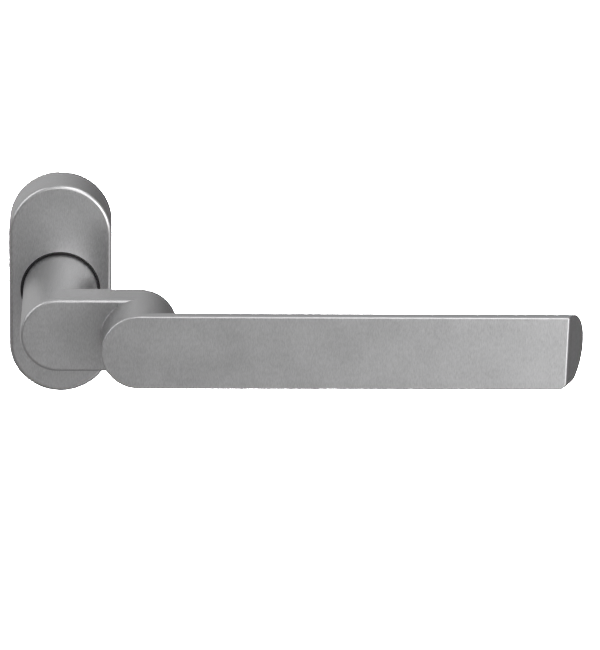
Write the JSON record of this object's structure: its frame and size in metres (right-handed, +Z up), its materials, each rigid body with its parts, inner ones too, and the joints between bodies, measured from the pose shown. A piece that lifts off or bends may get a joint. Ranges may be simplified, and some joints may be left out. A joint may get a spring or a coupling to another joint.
{
  "type": "window handle",
  "caption": "Cranked window lever handle on an oval rose: round neck, crank arm, flat-fronted grip, square spindle, sprung detent and pull-off cover.",
  "frame": {"origin": "on the spindle's axis, at the back face of the base plate, where it sits on the sash", "axes": "+Y into the sash along the spindle, +X towards the end of the grip with the lever turned level, +Z up along the rose"},
  "size_m": [0.1687, 0.098, 0.066],
  "materials": {
    "satin_metal": "satin brushed aluminium, fine grain, neutral grey",
    "zinc_casting": null,
    "plated_steel": "zinc plated steel",
    "spring_steel": "oiled spring steel",
    "hard_steel": "blackened hardened steel",
    "bronze": "plain bronze",
    "black_plastic": "black glide plastic, satin"
  },
  "bodies": {
    "rose": {"base_plate": "zinc_casting", "neck_ring": "black_plastic", "rear_bush": "black_plastic", "fixing_screw_upper": "plated_steel", "fixing_screw_lower": "plated_steel", "cover_clip_upper": "spring_steel", "cover_clip_lower": "spring_steel", "detent_spring_upper": "spring_steel", "detent_spring_lower": "spring_steel"},
    "cover": {"rose_cover": "satin_metal"},
    "lever": {"lever": "satin_metal", "spindle": "plated_steel", "grub_screw": "hard_steel", "detent_disc": "hard_steel", "thrust_washer": "bronze", "retaining_ring": "spring_steel"},
    "plunger_upper": {"detent_plunger_upper": "hard_steel"},
    "plunger_lower": {"detent_plunger_lower": "hard_steel"}
  },
  "joints": [
    {"name": "lever_turn", "type": "hinge", "parent": "rose", "child": "lever", "pos_m": [0, 0, 0], "axis": [0, 1, 0], "range_deg": [-90, 90]},
    {"name": "cover_pull", "type": "slide", "parent": "rose", "child": "cover", "axis": [0, -1, 0], "range_m": [0, 0.02]},
    {"name": "plunger_upper_seat", "type": "slide", "parent": "rose", "child": "plunger_upper", "axis": [0, 0, -1], "range_m": [0, 0.0008], "stiffness_N_per_m": 300, "deforming": ["detent_spring_upper"]},
    {"name": "plunger_lower_seat", "type": "slide", "parent": "rose", "child": "plunger_lower", "axis": [0, 0, 1], "range_m": [0, 0.0008], "stiffness_N_per_m": 300, "deforming": ["detent_spring_lower"]}
  ]
}
